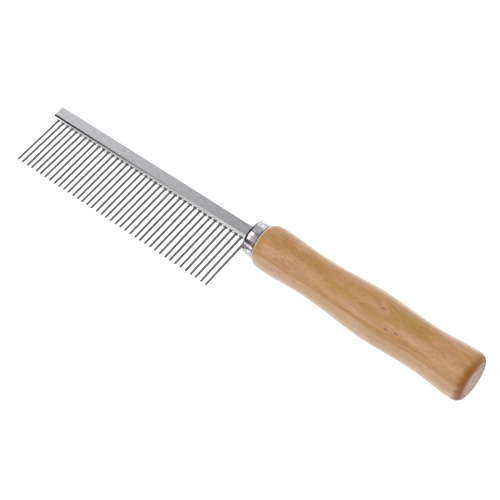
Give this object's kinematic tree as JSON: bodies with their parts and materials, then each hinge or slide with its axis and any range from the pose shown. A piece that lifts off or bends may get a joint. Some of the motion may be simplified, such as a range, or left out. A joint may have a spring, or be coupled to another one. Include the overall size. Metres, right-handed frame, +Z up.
{
  "type": "pet grooming comb",
  "caption": "Grooming comb with long round steel pins in a round-edged steel bar, a plated ferrule and a turned, varnished wooden handle.",
  "frame": {"origin": "centre of the comb's box on the surface that it lies on", "axes": "+X along the comb from the first tooth towards the butt, +Z up from the surface, teeth pointing to -Y; the comb lies as it rests on a table, on the first tooth's tip, the bar's end and the handle's shoulder, so the handle's axis rises 3.52 degrees towards the butt"},
  "size_m": [0.1982, 0.0374, 0.0237],
  "materials": {
    "pin_steel": "polished, plated steel wire",
    "bar_steel": "plated steel, finely ground along its length, bright on its rounded edges",
    "ferrule_plate": "bright plating on drawn sheet",
    "handle_wood": "honey-coloured turned hardwood under clear satin varnish"
  },
  "bodies": {
    "root": {"tooth_01": "pin_steel", "tooth_02": "pin_steel", "tooth_03": "pin_steel", "tooth_04": "pin_steel", "tooth_05": "pin_steel", "tooth_06": "pin_steel", "tooth_07": "pin_steel", "tooth_08": "pin_steel", "tooth_09": "pin_steel", "tooth_10": "pin_steel", "tooth_11": "pin_steel", "tooth_12": "pin_steel", "tooth_13": "pin_steel", "tooth_14": "pin_steel", "tooth_15": "pin_steel", "tooth_16": "pin_steel", "tooth_17": "pin_steel", "tooth_18": "pin_steel", "tooth_19": "pin_steel", "tooth_20": "pin_steel", "tooth_21": "pin_steel", "tooth_22": "pin_steel", "tooth_23": "pin_steel", "tooth_24": "pin_steel", "tooth_25": "pin_steel", "tooth_26": "pin_steel", "tooth_27": "pin_steel", "tooth_28": "pin_steel", "tooth_29": "pin_steel", "tooth_30": "pin_steel", "tooth_31": "pin_steel", "tooth_32": "pin_steel", "tooth_33": "pin_steel", "tooth_34": "pin_steel", "tooth_35": "pin_steel", "tooth_36": "pin_steel", "tooth_37": "pin_steel", "tooth_38": "pin_steel", "tooth_39": "pin_steel", "tooth_40": "pin_steel", "comb_bar": "bar_steel", "ferrule": "ferrule_plate", "handle": "handle_wood"}
  },
  "joints": []
}
